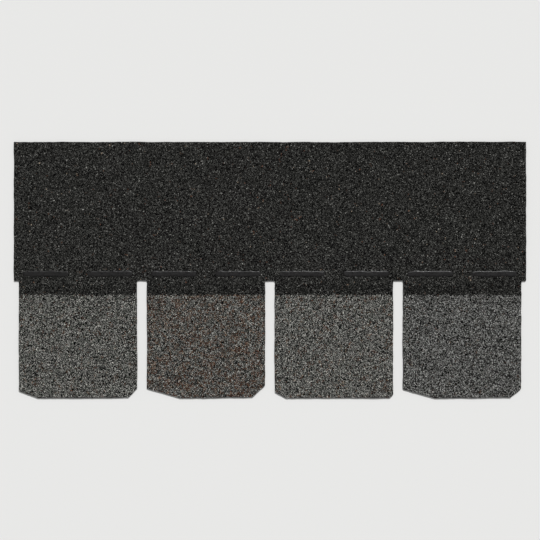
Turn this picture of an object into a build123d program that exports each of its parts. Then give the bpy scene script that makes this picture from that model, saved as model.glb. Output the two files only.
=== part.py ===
"""A strip shingle for a roof: one heavy asphalt sheet with mineral granules on its face.

The sheet lies flat, granules up. X runs along the strip, Y up the roof slope, and Z up from
the back. The origin is in the middle of the back. All sizes are in millimetres.
"""

import os
from itertools import cycle

from build123d import *

os.makedirs("parts", exist_ok=True)

# The whole sheet
sheet_width = 914.4
sheet_height = 457.2
sheet_thickness = 4.0

# The tabs, the part of each sheet that stays in view on a roof, and the slots between them
tab_count = 4
exposure = 203.2
slot_width = 17.8
slot_past_exposure = 6.3
slot_corner_radius = 2.5
tab_corner_radius = 3.0
sheet_corner_radius = 1.0
top_edge_radius = 0.5

# Each tab is trimmed in its own way, here from left to right. A corner cut is given along the
# butt edge and then up the side, and the edge between the cuts climbs a little to the right.
left_cuts = [(34.0, 13.0), (59.0, 17.0), (20.5, 11.0), (57.0, 16.0)]
right_cuts = [(15.5, 16.5), (22.0, 20.5), (5.0, 6.0), (18.0, 15.0)]
butt_climbs = [0.9, 1.6, 0.6, 1.2]

# The self-seal adhesive, dabbed across the face in dashes that the next course covers
seal_above_exposure = 12.8
seal_width = 12.0
seal_thickness = 0.8
seal_dashes_per_tab = 2
seal_gap = 32.0
seal_corner_radius = 3.0
seal_bevel = 0.3

# The release film on the back, which keeps the sheets of a bundle from sticking together
film_width = 32.0
film_thickness = 0.3
film_clearance = 0.2

# Where the pieces meet
tab_pitch = sheet_width / tab_count
tab_width = tab_pitch - slot_width
butt_y = -sheet_height / 2
slot_length = exposure + slot_past_exposure
slot_top_y = butt_y + slot_length
headlap_height = sheet_height - slot_length
seal_y = butt_y + exposure + seal_above_exposure + seal_width / 2
seal_pitch = tab_pitch / seal_dashes_per_tab


def tab_outline(middle, left_cut, right_cut, climb):
    """Draw one tab around its middle line, from its trimmed butt edge up to the headlap."""
    left = middle - tab_width / 2
    right = middle + tab_width / 2
    left_along, left_up = left_cut
    right_along, right_up = right_cut
    Polyline(
        (left, slot_top_y),
        (left, butt_y + left_up),
        (left + left_along, butt_y),
        (right - right_along, butt_y + climb),
        (right, butt_y + climb + right_up),
        (right, slot_top_y),
        close=True,
    )


# The sheet is one piece: a plain headlap above, and the tabs with full-depth slots between them
with BuildPart() as shingle_sheet:
    with BuildSketch() as outline:
        with Locations((0, slot_top_y + headlap_height / 2)):
            Rectangle(sheet_width, headlap_height)
        trims = zip(range(tab_count), cycle(left_cuts), cycle(right_cuts), cycle(butt_climbs))
        for number, left_cut, right_cut, climb in trims:
            with BuildLine():
                tab_outline((number + 0.5) * tab_pitch - sheet_width / 2, left_cut, right_cut, climb)
            make_face()
        slot_corners = [v for v in outline.vertices() if abs(v.Y - slot_top_y) < 0.01
                        and abs(v.X) < sheet_width / 2 - 0.01]
        fillet(slot_corners, slot_corner_radius)
        tab_corners = outline.vertices().filter_by_position(Axis.Y, butt_y - 1, slot_top_y - slot_length / 2)
        fillet(tab_corners, tab_corner_radius)
        sheet_corners = [v for v in outline.vertices() if abs(v.X) > sheet_width / 2 - 0.01]
        fillet(sheet_corners, sheet_corner_radius)
    extrude(amount=sheet_thickness)
    face_rim = shingle_sheet.faces().sort_by(Axis.Z)[-1].outer_wire().edges()
    fillet(face_rim, top_edge_radius)
    with BuildSketch():
        Rectangle(sheet_width, film_width + 2 * film_clearance)
    extrude(amount=film_thickness, mode=Mode.SUBTRACT)

# The adhesive dashes lie on the granules just above the slots, the same number on every tab
with BuildPart() as seal_strip:
    with BuildSketch(Plane.XY.offset(sheet_thickness)):
        with Locations((0, seal_y)):
            with GridLocations(seal_pitch, 0, tab_count * seal_dashes_per_tab, 1):
                RectangleRounded(seal_pitch - seal_gap, seal_width, seal_corner_radius)
    extrude(amount=seal_thickness)
    seal_rims = seal_strip.faces().group_by(Axis.Z)[-1].edges()
    chamfer(seal_rims, seal_bevel)

# The film lies flush in the back coating, half-way up, so that it meets the adhesive of a
# neighbour that is packed either way round
with BuildPart() as release_film:
    with BuildSketch():
        Rectangle(sheet_width, film_width)
    extrude(amount=film_thickness)

shingle_sheet.part.label = "shingle_sheet"
export_step(shingle_sheet.part, "parts/shingle_sheet.step")
seal_strip.part.label = "seal_strip"
export_step(seal_strip.part, "parts/seal_strip.step")
release_film.part.label = "release_film"
export_step(release_film.part, "parts/release_film.step")
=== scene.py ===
"""The looks of an asphalt strip shingle that lies flat with its granules up, seen from above.

All sizes are in metres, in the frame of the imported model. X runs along the strip, Y up the
roof slope, and Z out of the granule face.
"""

import math

import bpy
import numpy as np
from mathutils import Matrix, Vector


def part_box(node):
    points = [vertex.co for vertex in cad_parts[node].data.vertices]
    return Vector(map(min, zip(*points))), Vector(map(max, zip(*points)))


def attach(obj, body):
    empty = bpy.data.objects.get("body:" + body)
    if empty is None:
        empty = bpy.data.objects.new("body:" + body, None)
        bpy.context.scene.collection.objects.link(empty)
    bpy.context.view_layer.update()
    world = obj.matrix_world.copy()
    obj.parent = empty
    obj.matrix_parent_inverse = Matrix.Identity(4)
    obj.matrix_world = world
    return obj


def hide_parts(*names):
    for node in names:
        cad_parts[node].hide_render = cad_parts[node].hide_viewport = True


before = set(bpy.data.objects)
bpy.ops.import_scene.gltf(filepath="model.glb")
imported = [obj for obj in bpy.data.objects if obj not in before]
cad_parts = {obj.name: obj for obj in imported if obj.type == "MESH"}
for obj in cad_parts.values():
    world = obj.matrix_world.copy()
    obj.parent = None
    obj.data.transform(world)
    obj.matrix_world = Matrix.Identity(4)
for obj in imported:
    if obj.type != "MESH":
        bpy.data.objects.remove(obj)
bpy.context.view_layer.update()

MM = 0.001
TINY = 0.001 * MM  # points that lie closer together than this are one
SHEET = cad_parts["shingle_sheet"]
SHEET_LOW, SHEET_HIGH = (np.array(corner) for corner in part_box("shingle_sheet"))
SEAL_LOW, SEAL_HIGH = (np.array(corner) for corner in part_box("seal_strip"))
FILM_HIGH = np.array(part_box("release_film")[1])
STRIP_LENGTH = SHEET_HIGH[0] - SHEET_LOW[0]

# What the sheet is divided into
TAB_COUNT = 4
TAB_PITCH = STRIP_LENGTH / TAB_COUNT
LIGHT_HEIGHT = 184.0 * MM  # from the butt edge up to the band of dark granules
LIGHT_SCATTER = 0.9 * MM  # how ragged that line is

# The asphalt that the granules are pressed into
BED_HEIGHT = 3.25 * MM
EDGE_STEP = 1.8 * MM
EDGE_LEVELS = np.append(np.array([0.0, 0.4, 1.0, 1.7, 2.4, 3.0]) * MM, BED_HEIGHT)
EDGE_WAVES = ((4.0 * MM, 0.16 * MM), (17.0 * MM, 0.22 * MM))  # how long, how deep
EDGE_ROUGHNESS = 0.09 * MM
BACK_RIM_ROUGHNESS = 0.4  # as a share of the roughness above it
BED_RIM_INSET = 0.25 * MM
FILM_CLEARANCE = 0.2 * MM
RECESS_SIDE = FILM_HIGH[1] + FILM_CLEARANCE  # from the middle of the film's recess to its sides

# The asphalt's map: its walls as a ribbon in rows, with the back above them, and then the bed
RIBBON_ROWS = 16
RIBBON_SHARE, BACK_SHARE = 0.27, 0.70  # of the map's height. The bed has the rest.
RIBBON_START, RIBBON_FILL = 0.1, 0.8  # where the ribbon lies in the height of its row
RIBBON_MARGIN, BACK_MARGIN = 0.002, 0.005

# The granules, which lie in rows along the whole strip
TAB_ROWS, HEADLAP_ROWS = 4, 5
FINE_PITCH, COARSE_PITCH = 1.24 * MM, 1.60 * MM  # on the tabs, and on the headlap
ROW_PITCHES = [FINE_PITCH] * TAB_ROWS + [COARSE_PITCH] * HEADLAP_ROWS
GRANULE_JITTER = 0.27  # as a share of the pitch
NEAR_EDGE = 2.5 * MM  # nearer than this, a granule is measured from the uneven edge
LEAST_DEPTH = 0.05 * MM  # how far inside that edge its middle has to lie
GRANULE_RADIUS = (0.76, 1.10)  # as shares of the pitch
GRANULE_HEIGHT = (0.35 * MM, 1.0 * MM)
GRANULE_SUNK = 0.35 * MM
EDGE_TAPER, TAPERED_HEIGHT = 0.7 * MM, 0.55  # how near the edge they get lower, and to what share
SWELL_LENGTH, SWELL_HEIGHT = 9.0 * MM, 0.1 * MM  # the slow rise and fall of the whole face
CORNER_REACH = (0.75, 1.15)  # as shares of the radius
CREST_REACH = (0.05, 0.5)  # how far a peak lies off the middle, as shares of the radius
PEAKED_TWIST, RIDGED_TWIST = 0.6, 0.45  # how far a corner strays round its granule, in radians
RIDGED_SHARE = 0.2
RIDGED_SIZE = 0.8
RIDGE_SLOPE = (0.15, 0.9)  # how high the ridge's low end is, as shares of its high end
RIM_OVERHANG = 0.4 * MM
TONE_DRIFT, TONE_DRIFT_LENGTH = 0.22, 2.2 * MM  # the share that neighbours have in common
WARM_DRIFT, WARM_DRIFT_LENGTH = 0.5, 4.5 * MM

# The map of a row of granules: stretches of the row, laid one over the other
CELLS_PER_ROW = 4
CELL_MARGIN = 1.2 * MM
MAP_REACH = 0.47  # the most that a granule reaches on it, as a share of the pitch

# The adhesive dashes
DASH_COUNT = 8
DASH_GAP = 32.0 * MM
DASH_STEPS = (72, 12)  # along a dash, and across it
DASH_SINK = 0.35 * MM
DASH_TIP_INSET = 0.2 * MM
DASH_WAVE = 1.0 * MM  # the most that a rim strays
DASH_WAVE_SHARE, DASH_WAVE_LENGTH = 0.4, 2.5  # how far it mostly strays, and over how many steps
END_POWER, END_ROOT = 12, 0.35  # how square a dash's ends are
RIM_POWER, RIM_ROOT = 7, 0.5  # how steep its rims are
EVEN_HEIGHT, RIPPLE_HEIGHT = 0.6, 0.2  # what every place has, and what each ripple can add
RIPPLE_LENGTHS = (1.6 * MM, 5.0 * MM)

# What surrounds the sheet
FLOOR_SIZE = 12.0
FLOOR_DROP = 0.2 * MM
FLOOR_COLOUR = (0.8, 0.8, 0.79, 1.0)
WORLD_LIGHT = 0.3
BACKDROP = 0.8
KEY_STRENGTH = 2.9
KEY_SOFTNESS = math.radians(9)
KEY_TURN = (math.radians(-40), 0, math.radians(-15))
LENS = 85.0
SENSOR = 36.0
FRAME_WIDTH = 965 * MM  # how much of the floor the picture spans

random = np.random.default_rng(7)


def srgb(red, green, blue):
    """Turn display values from 0 to 255 into a linear colour."""
    values = np.array([red, green, blue]) / 255
    linear = np.where(values <= 0.04045, values / 12.92, ((values + 0.055) / 1.055) ** 2.4)
    return (*linear.tolist(), 1.0)


# The rocks that the blends are made of
BLACK = (0.001, 0.001, 0.001, 1.0)
CHARCOAL = (0.041, 0.041, 0.0375, 1.0)
SLATE = (0.105, 0.105, 0.098, 1.0)
GREY = (0.225, 0.226, 0.211, 1.0)
GREEN_GREY = (0.196, 0.222, 0.186, 1.0)
LIGHT = (0.434, 0.433, 0.403, 1.0)
PALE = (0.685, 0.680, 0.635, 1.0)
COOL_LIGHT = (0.432, 0.434, 0.418, 1.0)
COOL_PALE = (0.680, 0.683, 0.657, 1.0)
RUST = (0.222, 0.104, 0.067, 1.0)
BROWN = (0.152, 0.097, 0.071, 1.0)
TAN = (0.410, 0.332, 0.250, 1.0)

# The blends, in pairs of a rock and its share, and how much of each blend is warm rock
WARM_ROCKS = [(0.42, RUST), (0.38, BROWN), (0.20, TAN)]
TAB_BLENDS = [
    [(0.215, BLACK), (0.12, CHARCOAL), (0.12, SLATE), (0.09, GREY), (0.07, GREEN_GREY),
     (0.215, LIGHT), (0.17, PALE)],
    [(0.205, BLACK), (0.13, CHARCOAL), (0.155, SLATE), (0.12, GREY), (0.04, GREEN_GREY),
     (0.21, LIGHT), (0.14, PALE)],
    [(0.20, BLACK), (0.11, CHARCOAL), (0.125, SLATE), (0.10, GREY), (0.05, GREEN_GREY),
     (0.23, LIGHT), (0.185, PALE)],
    [(0.26, BLACK), (0.13, CHARCOAL), (0.11, SLATE), (0.13, GREY), (0.22, COOL_LIGHT),
     (0.15, COOL_PALE)],
]
WARM_SHARES = [0.035, 0.24, 0.07, 0.01]
DARK_BLEND = [(0.33, BLACK), (0.34, CHARCOAL), (0.25, SLATE), (0.06, GREY), (0.02, LIGHT)]
HEADLAP_BLEND = [(0.19, BLACK), (0.42, CHARCOAL), (0.335, SLATE), (0.05, GREY), (0.005, LIGHT)]
DARK_WARM_SHARE = 0.006


# Meshes

def mesh_object(name, points, corners, counts):
    """Make an object of flat faces.

    corners lists the points of one face after another, and counts how many each face has.
    """
    mesh = bpy.data.meshes.new(name)
    mesh.vertices.add(len(points))
    mesh.vertices.foreach_set("co", np.asarray(points, np.float32).ravel())
    mesh.loops.add(len(corners))
    mesh.loops.foreach_set("vertex_index", np.asarray(corners, np.int32))
    mesh.polygons.add(len(counts))
    starts = np.concatenate(([0], np.cumsum(counts)[:-1]))
    mesh.polygons.foreach_set("loop_start", starts.astype(np.int32))
    mesh.update(calc_edges=True)
    mesh.polygons.foreach_set("use_smooth", np.zeros(len(counts), bool))
    piece = bpy.data.objects.new(name, mesh)
    bpy.context.scene.collection.objects.link(piece)
    return piece


def add_map(piece, places):
    """Give a piece the map that its finish is baked through."""
    layer = piece.data.uv_layers.new(name="OFBake")
    layer.uv.foreach_set("vector", np.asarray(places, np.float32).ravel())


def add_value(piece, name, values):
    """Give each face of a piece a number that its material reads."""
    layer = piece.data.attributes.new(name, "FLOAT", "FACE")
    layer.data.foreach_set("value", np.asarray(values, np.float32))


def smooth_noise(count, length):
    """Make a closed run of random numbers with mean 0, spread 1 and waves of so many steps."""
    raw = random.standard_normal(count)
    waves = np.fft.fftfreq(count)
    soft = np.fft.ifft(np.fft.fft(raw) * np.exp(-2 * (math.pi * waves * length) ** 2)).real
    soft -= soft.mean()
    return soft / soft.std()


def lattice_noise(x, y, cell):
    """Read smooth random numbers between 0 and 1 at places on the sheet."""
    across = int(STRIP_LENGTH / cell) + 3
    up = int((SHEET_HIGH[1] - SHEET_LOW[1]) / cell) + 3
    values = random.random((up, across))
    # Just under the last point, so that each place has a point on either side.
    u = np.clip((x - SHEET_LOW[0]) / cell, 0, across - 1.001)
    v = np.clip((y - SHEET_LOW[1]) / cell, 0, up - 1.001)
    column, row = u.astype(int), v.astype(int)
    u, v = u - column, v - row
    low = values[row, column] * (1 - u) + values[row, column + 1] * u
    high = values[row + 1, column] * (1 - u) + values[row + 1, column + 1] * u
    return low * (1 - v) + high * v


# The outline

def cad_outline():
    """Walk round the sheet's outline, counter-clockwise, where its walls end below the rim."""
    mesh = SHEET.data
    points = np.zeros(len(mesh.vertices) * 3)
    mesh.vertices.foreach_get("co", points)
    points = points.reshape(-1, 3)
    at_end = points[:, 0] > SHEET_HIGH[0] - TINY
    level = points[at_end, 2].max()
    keys = [tuple(np.round(point / TINY).astype(int)) for point in points]
    on_level = np.abs(points[:, 2] - level) < 10 * TINY
    beside = {}
    for edge in mesh.edges:
        first, second = edge.vertices
        if on_level[first] and on_level[second] and keys[first] != keys[second]:
            beside.setdefault(keys[first][:2], set()).add(keys[second][:2])
            beside.setdefault(keys[second][:2], set()).add(keys[first][:2])
    start = min(beside)
    walk, last, here = [start], None, start
    while True:
        onward = [key for key in beside[here] if key != last]
        last, here = here, onward[0]
        if here == start:
            break
        walk.append(here)
    outline = np.array(walk) * TINY
    following = np.roll(outline, -1, axis=0)
    turn = np.sum(outline[:, 0] * following[:, 1] - following[:, 0] * outline[:, 1])
    return outline if turn > 0 else outline[::-1]


def on_recess_side(steps):
    """Tell which steps of the outline lie on the sides of the film's recess."""
    return np.abs(np.abs(steps[:, 1]) - RECESS_SIDE) < TINY


def cut_outline(outline):
    """Divide the outline into short steps and make it as uneven as a cut edge."""
    steps = []
    for start, end in zip(outline, np.roll(outline, -1, axis=0)):
        crossings = [(side - start[1]) / (end[1] - start[1]) for side in (-RECESS_SIDE, RECESS_SIDE)
                     if min(start[1], end[1]) < side < max(start[1], end[1])]
        stops = [0.0, *sorted(crossings), 1.0]
        for low, high in zip(stops[:-1], stops[1:]):
            count = max(1, round(np.linalg.norm(end - start) * (high - low) / EDGE_STEP))
            shares = np.linspace(low, high, count + 1)[:-1]
            steps += [start + (end - start) * share for share in shares]
    steps = np.array(steps)
    along = np.roll(steps, -1, axis=0) - np.roll(steps, 1, axis=0)
    outward = np.stack([along[:, 1], -along[:, 0]], 1) / np.linalg.norm(along, axis=1)[:, None]
    push = sum(depth * smooth_noise(len(steps), length / EDGE_STEP) for length, depth in EDGE_WAVES)
    push[on_recess_side(steps)] = 0
    return steps + outward * push[:, None], outward


def depth_inside(places, outline):
    """Tell how far each place lies inside the outline. It is negative outside."""
    nearest = np.full(len(places), np.inf)
    inside = np.zeros(len(places), bool)
    x, y = places.T
    for (ax, ay), (bx, by) in zip(outline, np.roll(outline, -1, axis=0)):
        dx, dy = bx - ax, by - ay
        share = np.clip(((x - ax) * dx + (y - ay) * dy) / (dx * dx + dy * dy), 0, 1)
        nearest = np.minimum(nearest, (x - ax - share * dx) ** 2 + (y - ay - share * dy) ** 2)
        if ay != by:
            inside ^= ((ay > y) != (by > y)) & (x < ax + (y - ay) * dx / dy)
    return np.sqrt(nearest) * np.where(inside, 1, -1)


# The asphalt

def make_asphalt(steps, outward):
    """The closed body of asphalt: rough cut edges, a flat back with the film's recess, and the bed."""
    count, levels = len(steps), len(EDGE_LEVELS)
    in_recess = np.abs(steps[:, 1]) < RECESS_SIDE - TINY
    rough = random.standard_normal((levels, count)) * EDGE_ROUGHNESS
    rough[0] *= BACK_RIM_ROUGHNESS
    rough[-1] = -BED_RIM_INSET
    rings = np.zeros((levels, count, 3))
    for level, height in enumerate(EDGE_LEVELS):
        rings[level, :, :2] = steps + outward * rough[level][:, None]
        rings[level, :, 2] = height
    rings[0, in_recess, 2] = FILM_HIGH[2]

    here = np.arange(count)
    ahead = np.roll(here, -1)
    corners, counts = [], []
    for level in range(levels - 1):
        low, high = level * count, (level + 1) * count
        walls = np.stack([low + here, low + ahead, high + ahead, high + here], 1)
        corners.append(walls.ravel())
        counts += [4] * count
    wall_faces = len(counts)
    corners.append(here + (levels - 1) * count)
    counts.append(count)
    points, back_faces = close_back(rings.reshape(-1, 3), steps)
    for face in back_faces:
        corners.append(np.array(face))
        counts.append(len(face))

    body = mesh_object("asphalt_body", points, np.concatenate(corners), counts)
    add_map(body, map_asphalt(body, wall_faces, count))
    edge_slot, back_slot, bed_slot = range(3)
    slots = np.full(len(counts), back_slot, np.int32)
    slots[:wall_faces] = edge_slot
    slots[wall_faces] = bed_slot
    body.data.polygons.foreach_set("material_index", slots)
    return body


def close_back(points, steps):
    """List the faces of the back, and add the corners of the recess's floor to the points.

    The faces are the back below and above the recess, the recess's floor and its two sides, and
    a small triangle at each end of those sides, which joins them to the cut edge.
    """
    count = len(steps)
    ends = np.flatnonzero(on_recess_side(steps))
    right_low, right_high = sorted((i for i in ends if steps[i, 0] > 0), key=lambda i: steps[i, 1])
    left_low, left_high = sorted((i for i in ends if steps[i, 0] < 0), key=lambda i: steps[i, 1])
    lifted = points[[right_low, right_high, left_high, left_low]].copy()
    lifted[:, 2] = FILM_HIGH[2]
    first = len(points)
    right_low_up, right_high_up, left_high_up, left_low_up = range(first, first + 4)

    def around(start, end):
        return [(start + step) % count for step in range((end - start) % count + 1)]

    right_run = around(right_low, right_high)
    left_run = around(left_high, left_low)
    faces = [
        around(left_low, right_low)[::-1],
        around(right_high, left_high)[::-1],
        [left_low_up, *left_run[1:-1][::-1], left_high_up,
         right_high_up, *right_run[1:-1][::-1], right_low_up],
        [right_low, left_low, left_low_up, right_low_up],
        [left_high, right_high, right_high_up, left_high_up],
        [right_run[1], right_low, right_low_up],
        [right_high, right_run[-2], right_high_up],
        [left_run[1], left_high, left_high_up],
        [left_low, left_run[-2], left_low_up],
    ]
    return np.concatenate([points, lifted]), faces


def map_asphalt(body, wall_faces, count):
    """Lay out the walls as a ribbon in rows, with the back above them and the black bed on top."""
    mesh = body.data
    vertex = np.zeros(len(mesh.loops), np.int32)
    mesh.loops.foreach_get("vertex_index", vertex)
    points = np.zeros(len(mesh.vertices) * 3, np.float32)
    mesh.vertices.foreach_get("co", points)
    places = points.reshape(-1, 3)[vertex]
    face = np.repeat(np.arange(len(mesh.polygons)), [p.loop_total for p in mesh.polygons])
    uv = np.zeros((len(vertex), 2))

    walls = face < wall_faces
    ring_step = face[walls] % count
    row_length = math.ceil(count / RIBBON_ROWS)
    row = ring_step // row_length
    step = vertex[walls] % count
    step = np.where((ring_step == count - 1) & (step == 0), count, step)
    along = (step - row * row_length) / row_length
    height = places[walls, 2] / BED_HEIGHT
    uv[walls, 0] = RIBBON_MARGIN + (1 - 2 * RIBBON_MARGIN) * along
    uv[walls, 1] = RIBBON_SHARE * (row + RIBBON_START + RIBBON_FILL * height) / RIBBON_ROWS

    across = (places[:, 0] - SHEET_LOW[0]) / STRIP_LENGTH
    up = (places[:, 1] - SHEET_LOW[1]) / (SHEET_HIGH[1] - SHEET_LOW[1])
    back = face > wall_faces
    uv[back, 0] = across[back]
    uv[back, 1] = RIBBON_SHARE + BACK_MARGIN + (BACK_SHARE - 2 * BACK_MARGIN) * up[back]
    bed = face == wall_faces
    uv[bed, 0] = across[bed]
    uv[bed, 1] = RIBBON_SHARE + BACK_SHARE + (1 - RIBBON_SHARE - BACK_SHARE) * up[bed]
    return uv


# The granules

def scatter_granules(outline, steps, pitch, low, high):
    """Choose where a row's granules lie: a close, jittered pattern that ends at the cut edge."""
    columns = round(STRIP_LENGTH / pitch)
    lines = round((high - low) / (pitch * math.sqrt(3) / 2))
    line, column = (grid.ravel() for grid in np.mgrid[0:lines, 0:columns])
    # Every other line lies half a pitch further along.
    x = SHEET_LOW[0] + (column + 0.25 + 0.5 * (line % 2)) * STRIP_LENGTH / columns
    y = low + (line + 0.5) * (high - low) / lines
    grid = np.stack([x, y], 1)
    places = grid + (random.random(grid.shape) - 0.5) * 2 * GRANULE_JITTER * pitch
    depth = depth_inside(places, outline)
    near = np.abs(depth) < NEAR_EDGE
    depth[near] = depth_inside(places[near], steps)
    kept = depth > LEAST_DEPTH
    return grid[kept], places[kept], depth[kept]


def shape_granules(places, depth, pitch):
    """Give each granule its four corners, the highest of them first.

    A peaked chip stands on three sunk corners. A ridged one has two sunk corners, and a ridge
    that slopes across them.
    """
    total = len(places)
    ridged = random.random(total) < RIDGED_SHARE
    peaked = ~ridged
    radius = random.uniform(*GRANULE_RADIUS, total) * pitch * np.where(ridged, RIDGED_SIZE, 1)
    turn = random.uniform(0, 2 * math.pi, total)
    height = random.uniform(*GRANULE_HEIGHT, total) * np.clip(depth / EDGE_TAPER, TAPERED_HEIGHT, 1)
    height += SWELL_HEIGHT * (lattice_noise(places[:, 0], places[:, 1], SWELL_LENGTH) - 0.5)

    peaked_angle = np.array([0, 0, 120, 240])
    ridged_angle = np.array([0, 90, 180, 270])
    twist = np.where(ridged, RIDGED_TWIST, PEAKED_TWIST)
    angle = np.radians(np.where(ridged[:, None], ridged_angle, peaked_angle)) + turn[:, None]
    angle += random.uniform(-1, 1, angle.shape) * twist[:, None]
    reach = random.uniform(*CORNER_REACH, angle.shape)
    angle[peaked, 0] = random.uniform(0, 2 * math.pi, peaked.sum())
    reach[peaked, 0] = random.uniform(*CREST_REACH, peaked.sum())
    reach = np.minimum(reach * radius[:, None], depth[:, None] + RIM_OVERHANG)

    points = np.full((total, 4, 3), BED_HEIGHT - GRANULE_SUNK)
    points[:, :, 0] = places[:, :1] + reach * np.cos(angle)
    points[:, :, 1] = places[:, 1:] + reach * np.sin(angle)
    points[:, 0, 2] = BED_HEIGHT + height
    ridge_end = BED_HEIGHT + height * random.uniform(*RIDGE_SLOPE, total)
    points[ridged, 2, 2] = ridge_end[ridged]
    return points


def map_granules(grid, places, points, low, high):
    """Lay out a row's granules, each in a place of its own, so that none covers its neighbour."""
    spread = MAP_REACH / (GRANULE_RADIUS[1] * CORNER_REACH[1])
    laid = grid[:, None, :] + (points[:, :, :2] - places[:, None, :]) * spread
    stretch = STRIP_LENGTH / CELLS_PER_ROW
    cell_height = high - low + 2 * CELL_MARGIN
    cell = np.clip((grid[:, 0] - SHEET_LOW[0]) // stretch, 0, CELLS_PER_ROW - 1)[:, None]
    scale = 1 / (stretch + 2 * CELL_MARGIN)
    across = (laid[:, :, 0] - SHEET_LOW[0] - cell * stretch + CELL_MARGIN) * scale
    up = (laid[:, :, 1] - low + CELL_MARGIN + cell * cell_height) * scale
    return np.stack([across, up], -1).reshape(-1, 2)


def rank(values):
    """Replace each value by its place in their order, from 0 to 1, so that shares come out exact."""
    return np.argsort(np.argsort(values)) / len(values)


def tint_granules(piece, grid, places, owner):
    """Give each granule the values that its material reads, and its tab's blend or the dark one."""
    total = len(places)
    x, y = places.T
    tone = (1 - TONE_DRIFT) * random.random(total)
    tone += TONE_DRIFT * lattice_noise(x, y, TONE_DRIFT_LENGTH)
    drift = lattice_noise(x, y, WARM_DRIFT_LENGTH)
    warmth = (1 - WARM_DRIFT) * random.random(total) + WARM_DRIFT * drift
    add_value(piece, "tone", rank(tone)[owner])
    add_value(piece, "warmth", rank(warmth)[owner])
    add_value(piece, "shade", random.random(total)[owner])
    line = SHEET_LOW[1] + LIGHT_HEIGHT + random.standard_normal(total) * LIGHT_SCATTER
    tab = np.clip((grid[:, 0] - SHEET_LOW[0]) // TAB_PITCH, 0, TAB_COUNT - 1).astype(int)
    blend = np.where(y < line, tab, TAB_COUNT)
    piece.data.polygons.foreach_set("material_index", blend[owner].astype(np.int32))


def make_granules(number, outline, steps, pitch, low, high):
    """One row of granules, each a closed angular chip that is set into the asphalt."""
    grid, places, depth = scatter_granules(outline, steps, pitch, low, high)
    points = shape_granules(places, depth, pitch)
    # The undersides come first, so that a bake, which keeps the last face, shows the tops.
    sides = np.array([[2, 1, 3], [0, 3, 1], [0, 1, 2], [0, 2, 3]])
    faces = (sides[:, None, :] + 4 * np.arange(len(points))[:, None]).reshape(-1, 3)
    owner = np.tile(np.arange(len(points)), len(sides))
    corners = faces.ravel()
    piece = mesh_object(f"granules_row_{number}", points.reshape(-1, 3), corners, [3] * len(faces))
    add_map(piece, map_granules(grid, places, points, low, high)[corners])
    tint_granules(piece, grid, places, owner)
    return piece


# The adhesive

def dash_points(middle_x, length, share, across):
    """Shape one dash: rings of points from its left to its right, and then its two tips."""
    half_width = (SEAL_HIGH[1] - SEAL_LOW[1]) / 2 - DASH_WAVE
    middle_y = (SEAL_LOW[1] + SEAL_HIGH[1]) / 2
    base, top = SEAL_LOW[2] - DASH_SINK, SEAL_HIGH[2]
    tip = length / 2 - DASH_TIP_INSET
    waves = np.array([smooth_noise(len(share), DASH_WAVE_LENGTH) for _ in range(2)])
    rims = DASH_WAVE * DASH_WAVE_SHARE * waves
    stray = np.where(across > 0, rims[0][:, None], rims[1][:, None]).clip(-DASH_WAVE, DASH_WAVE)
    end = (1 - np.abs(share) ** END_POWER) ** END_ROOT
    x = middle_x + share * tip
    y = middle_y + across * (half_width + stray) * end
    rise = (1 - np.abs(across) ** RIM_POWER) ** RIM_ROOT * end ** RIM_ROOT
    fine, broad = (lattice_noise(x.ravel(), y.ravel(), size).reshape(x.shape)
                   for size in RIPPLE_LENGTHS)
    z = base + (top - base) * rise * (EVEN_HEIGHT + RIPPLE_HEIGHT * fine + RIPPLE_HEIGHT * broad)
    tips = [(middle_x - tip, middle_y, base), (middle_x + tip, middle_y, base)]
    return np.concatenate([np.stack([x, y, z], -1).reshape(-1, 3), tips])


def dash_faces(first, rings, around):
    """List a dash's faces: quads between its rings, a fan at each tip, and its underside."""
    grid = first + np.arange(rings * around).reshape(rings, around)
    left_tip, right_tip = first + grid.size, first + grid.size + 1
    quads = np.stack([grid[:-1, :-1], grid[1:, :-1], grid[1:, 1:], grid[:-1, 1:]], -1)
    left_fan = [(left_tip, a, b) for a, b in zip(grid[0, :-1], grid[0, 1:])]
    right_fan = [(right_tip, b, a) for a, b in zip(grid[-1, :-1], grid[-1, 1:])]
    underside = [left_tip, *grid[:, -1], right_tip, *grid[::-1, 0]]
    return [*quads.reshape(-1, 4), *left_fan, *right_fan, underside]


def make_seal():
    """The adhesive dashes: flat dabs with rounded, uneven rims, sunk between the granules."""
    pitch = (SEAL_HIGH[0] - SEAL_LOW[0] + DASH_GAP) / DASH_COUNT
    length = pitch - DASH_GAP
    along, around = DASH_STEPS
    share, side = np.meshgrid(np.linspace(-1, 1, along + 1)[1:-1], np.linspace(-1, 1, around + 1),
                              indexing="ij")
    across = np.sin(side * math.pi / 2)
    points, faces = [], []
    for dash in range(DASH_COUNT):
        middle_x = SEAL_LOW[0] + length / 2 + dash * pitch
        faces += dash_faces(sum(len(group) for group in points), *share.shape)
        points.append(dash_points(middle_x, length, share, across))
    corners = [corner for face in faces for corner in face]
    counts = [len(face) for face in faces]
    piece = mesh_object("seal_dashes", np.concatenate(points), corners, counts)
    piece.data.polygons.foreach_set("use_smooth", np.ones(len(counts), bool))
    return piece


# Materials

MIX_SOCKETS, MIX_RESULT = (0, 6, 7), 2  # the mix node's share and two colours, and what it gives
MOST_OF_NOISE = (0.3, 0.7)  # where most of a noise's values lie


def new_material(name):
    """Start a node material and return it with its node tree and shader."""
    material = bpy.data.materials.new(name)
    material.use_nodes = True
    tree = material.node_tree
    return material, tree, tree.nodes["Principled BSDF"]


def add_node(tree, kind, **settings):
    """Add a node of this kind, with these settings."""
    node = tree.nodes.new(kind)
    for name, value in settings.items():
        setattr(node, name, value)
    return node


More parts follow.
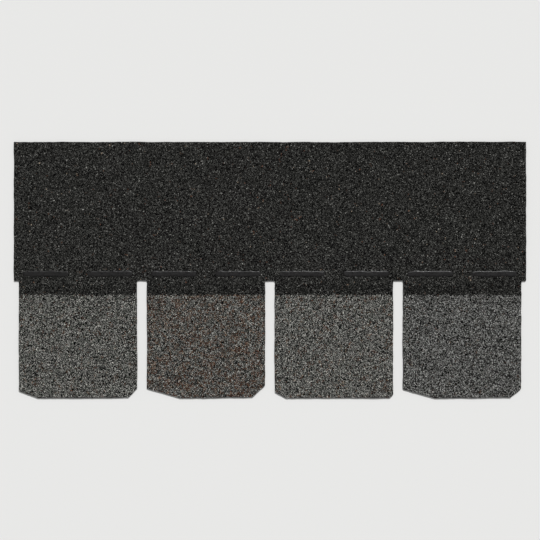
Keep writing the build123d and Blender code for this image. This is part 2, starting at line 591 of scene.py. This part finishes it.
def noise(tree, size, detail=3.0, stretch=(1.0, 1.0, 1.0)):
    """A noise with features of about this size, in metres, on the object's own coordinates."""
    coordinates = add_node(tree, "ShaderNodeTexCoord")
    mapping = add_node(tree, "ShaderNodeMapping")
    mapping.inputs["Scale"].default_value = stretch
    texture = add_node(tree, "ShaderNodeTexNoise")
    texture.inputs["Scale"].default_value = 1 / size
    texture.inputs["Detail"].default_value = detail
    tree.links.new(coordinates.outputs["Object"], mapping.inputs["Vector"])
    tree.links.new(mapping.outputs["Vector"], texture.inputs["Vector"])
    return texture.outputs["Fac"]


def remap(tree, value, low, high, from_low=0.0, from_high=1.0):
    """Stretch a value's range onto another one, and hold what lies outside at its ends."""
    node = add_node(tree, "ShaderNodeMapRange")
    node.inputs["From Min"].default_value = from_low
    node.inputs["From Max"].default_value = from_high
    node.inputs["To Min"].default_value = low
    node.inputs["To Max"].default_value = high
    tree.links.new(value, node.inputs["Value"])
    return node.outputs["Result"]


def mix_colours(tree, share, first, second, way="MIX"):
    """Mix two colours. Each, and the share, is a socket or a plain value."""
    node = add_node(tree, "ShaderNodeMix", data_type="RGBA", blend_type=way)
    for number, value in zip(MIX_SOCKETS, (share, first, second)):
        if isinstance(value, bpy.types.NodeSocket):
            tree.links.new(value, node.inputs[number])
        else:
            node.inputs[number].default_value = value
    return node.outputs[MIX_RESULT]


def pick_colour(tree, value, blend):
    """Pick a rock by a value from 0 to 1, where each rock of the blend has its own share."""
    node = add_node(tree, "ShaderNodeValToRGB")
    ramp = node.color_ramp
    ramp.interpolation = "CONSTANT"
    ramp.elements.remove(ramp.elements[1])
    total = sum(share for share, _ in blend)
    place = 0.0
    for number, (share, colour) in enumerate(blend):
        stop = ramp.elements[0] if number == 0 else ramp.elements.new(place / total)
        stop.color = colour
        place += share
    tree.links.new(value, node.inputs["Fac"])
    return node.outputs["Color"]


def face_value(tree, name):
    """Read the number that add_value gave each face."""
    return add_node(tree, "ShaderNodeAttribute", attribute_name=name).outputs["Fac"]


def vary_roughness(tree, shader, size, low, high):
    """Let the roughness wander between two values, in patches of about this size."""
    patches = remap(tree, noise(tree, size), low, high, *MOST_OF_NOISE)
    tree.links.new(patches, shader.inputs["Roughness"])


def add_bump(tree, shader, height, strength, distance):
    """Roughen the surface by a height from 0 to 1, which stands for this distance."""
    bump = add_node(tree, "ShaderNodeBump")
    bump.inputs["Strength"].default_value = strength
    bump.inputs["Distance"].default_value = distance
    tree.links.new(height, bump.inputs["Height"])
    tree.links.new(bump.outputs["Normal"], shader.inputs["Normal"])


def granule_material(name, blend, warm_share):
    """Ceramic granules: each picks a rock by its tone, some are warm, and none is quite even."""
    material, tree, shader = new_material(name)
    rock = pick_colour(tree, face_value(tree, "tone"), blend)
    shade = face_value(tree, "shade")
    warm_rock = pick_colour(tree, shade, WARM_ROCKS)
    is_warm = add_node(tree, "ShaderNodeMath", operation="LESS_THAN")
    is_warm.inputs[1].default_value = warm_share
    tree.links.new(face_value(tree, "warmth"), is_warm.inputs[0])
    colour = mix_colours(tree, is_warm.outputs[0], rock, warm_rock)

    brightness = remap(tree, shade, 0.76, 1.24)
    speckle = remap(tree, noise(tree, 0.35 * MM, 4.0), 0.65, 1.35, 0.25, 0.75)
    colour = mix_colours(tree, 1.0, colour, brightness, "MULTIPLY")
    colour = mix_colours(tree, 1.0, colour, speckle, "MULTIPLY")
    tree.links.new(colour, shader.inputs["Base Color"])
    vary_roughness(tree, shader, 0.8 * MM, 0.6, 0.95)
    shader.inputs["Specular IOR Level"].default_value = 0.04
    add_bump(tree, shader, noise(tree, 0.25 * MM), 0.5, 0.06 * MM)
    return material


def asphalt_material():
    """The cut edge: black filled asphalt with pale stone dust and torn spots."""
    material, tree, shader = new_material("cut_asphalt")
    dust = remap(tree, noise(tree, 0.7 * MM, 4.0), 0.0, 1.0, 0.42, 0.8)
    colour = mix_colours(tree, dust, srgb(28, 28, 27), srgb(92, 90, 86))
    tree.links.new(colour, shader.inputs["Base Color"])
    vary_roughness(tree, shader, 1.5 * MM, 0.55, 0.95)
    add_bump(tree, shader, noise(tree, 0.5 * MM, 4.0), 0.7, 0.15 * MM)
    return material


def bed_material():
    """The black asphalt that shows between the granules."""
    material, _, shader = new_material("asphalt_bed")
    shader.inputs["Base Color"].default_value = (0.003, 0.003, 0.003, 1.0)
    shader.inputs["Roughness"].default_value = 0.8
    shader.inputs["Specular IOR Level"].default_value = 0.05
    return material


def back_material():
    """The back: black asphalt dusted with fine grey sand, which lies thin in places."""
    material, tree, shader = new_material("dusted_back")
    thickness = remap(tree, noise(tree, 22 * MM, 4.0, (0.45, 1.0, 1.0)), 0.0, 1.0, *MOST_OF_NOISE)
    dusted = mix_colours(tree, thickness, srgb(70, 70, 69), srgb(90, 89, 86))
    sand = remap(tree, noise(tree, 2.2 * MM, 2.0), 0.7, 1.3, *MOST_OF_NOISE)
    dusted = mix_colours(tree, 1.0, dusted, sand, "MULTIPLY")
    bare = remap(tree, noise(tree, 3.4 * MM), 0.0, 1.0, 0.62, 0.7)
    colour = mix_colours(tree, bare, dusted, srgb(46, 45, 44))
    tree.links.new(colour, shader.inputs["Base Color"])
    vary_roughness(tree, shader, 3 * MM, 0.75, 0.95)
    shader.inputs["Specular IOR Level"].default_value = 0.2
    add_bump(tree, shader, noise(tree, 0.6 * MM, 4.0), 0.8, 0.2 * MM)
    return material


def seal_material():
    """Hot-melt adhesive: near black, with a broken gloss."""
    material, tree, shader = new_material("seal_adhesive")
    black, worn = (0.004, 0.004, 0.004, 1.0), (0.012, 0.011, 0.011, 1.0)
    colour = mix_colours(tree, noise(tree, 5 * MM), black, worn)
    tree.links.new(colour, shader.inputs["Base Color"])
    vary_roughness(tree, shader, 3 * MM, 0.22, 0.5)
    shader.inputs["Specular IOR Level"].default_value = 0.35
    add_bump(tree, shader, noise(tree, 1.1 * MM), 0.5, 0.25 * MM)
    return material


def film_material():
    """Clear film stuck to the dark coating: glossy and finely wrinkled, with a painted sheen that
    makes it paler along the wrinkles' rises, where it has let go.
    """
    material, tree, shader = new_material("release_film")
    wrinkles = noise(tree, 4 * MM, stretch=(1.0, 0.22, 1.0))
    # Painted sheen: the film's colour grows paler where the wrinkles rise, standing in for the light
    # that lifted film catches.
    painted_sheen = remap(tree, wrinkles, 0.0, 1.0, 0.3, 0.8)
    colour = mix_colours(tree, painted_sheen, srgb(58, 58, 59), srgb(88, 88, 89))
    tree.links.new(colour, shader.inputs["Base Color"])
    vary_roughness(tree, shader, 9 * MM, 0.1, 0.28)
    add_bump(tree, shader, wrinkles, 0.6, 0.35 * MM)
    return material


def floor_material():
    """The matt pale floor that the sheet lies on."""
    material, _, shader = new_material("pale_floor")
    shader.inputs["Base Color"].default_value = FLOOR_COLOUR
    shader.inputs["Roughness"].default_value = 0.9
    return material


# The scene

def build_sheet():
    """Build the asphalt and the granule rows, which together stand for the one-piece sheet."""
    outline = cad_outline()
    steps, outward = cut_outline(outline)
    body = make_asphalt(steps, outward)
    body.data.materials.append(asphalt_material())
    body.data.materials.append(back_material())
    body.data.materials.append(bed_material())
    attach(body, "root")
    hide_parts("shingle_sheet")

    tabs = [granule_material(f"granules_tab_{number + 1}", blend, share)
            for number, (blend, share) in enumerate(zip(TAB_BLENDS, WARM_SHARES))]
    band = granule_material("granules_band", DARK_BLEND, DARK_WARM_SHARE)
    headlap = granule_material("granules_headlap", HEADLAP_BLEND, DARK_WARM_SHARE)
    row_edges = np.linspace(SHEET_LOW[1], SHEET_HIGH[1], len(ROW_PITCHES) + 1)
    for number, (pitch, low, high) in enumerate(zip(ROW_PITCHES, row_edges[:-1], row_edges[1:])):
        row = make_granules(number + 1, outline, steps, pitch, low, high)
        for material in (*tabs, band if number < TAB_ROWS else headlap):
            row.data.materials.append(material)
        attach(row, "root")
        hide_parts("shingle_sheet")


def build_seal():
    """Build the adhesive dashes in place of the ones in the frame."""
    seal = make_seal()
    seal.data.materials.append(seal_material())
    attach(seal, "root")
    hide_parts("seal_strip")


def dress_film():
    """Give the frame's own film its material."""
    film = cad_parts["release_film"]
    film.data.materials.clear()
    film.data.materials.append(film_material())


def build_stage():
    """A pale floor, soft light from up the slope and a little from the right, and the camera."""
    scene = bpy.context.scene
    bpy.ops.mesh.primitive_plane_add(size=FLOOR_SIZE, location=(0, 0, -FLOOR_DROP))
    floor = bpy.context.object
    floor.name = "floor"
    floor.data.materials.append(floor_material())

    # The world lights the sheet more dimly than the camera sees it.
    world = bpy.data.worlds.new("studio")
    scene.world = world
    world.use_nodes = True
    tree = world.node_tree
    light_path = add_node(tree, "ShaderNodeLightPath")
    seen = add_node(tree, "ShaderNodeMath", operation="MAXIMUM")
    tree.links.new(light_path.outputs["Is Camera Ray"], seen.inputs[0])
    tree.links.new(light_path.outputs["Is Transmission Ray"], seen.inputs[1])
    background = tree.nodes["Background"]
    background.inputs["Color"].default_value = (1.0, 1.0, 1.0, 1.0)
    strength = remap(tree, seen.outputs[0], WORLD_LIGHT, BACKDROP)
    tree.links.new(strength, background.inputs["Strength"])

    key = bpy.data.lights.new("key", "SUN")
    key.energy = KEY_STRENGTH
    key.angle = KEY_SOFTNESS
    lamp = bpy.data.objects.new("key", key)
    lamp.rotation_euler = KEY_TURN
    scene.collection.objects.link(lamp)

    camera = bpy.data.cameras.new("camera")
    camera.lens = LENS
    camera.sensor_width = SENSOR
    viewer = bpy.data.objects.new("camera", camera)
    middle = (SHEET_LOW + SHEET_HIGH) / 2
    viewer.location = (middle[0], middle[1], FRAME_WIDTH * LENS / SENSOR)
    scene.collection.objects.link(viewer)
    scene.camera = viewer
    scene.view_settings.view_transform = "Standard"


build_sheet()
build_seal()
dress_film()
build_stage()
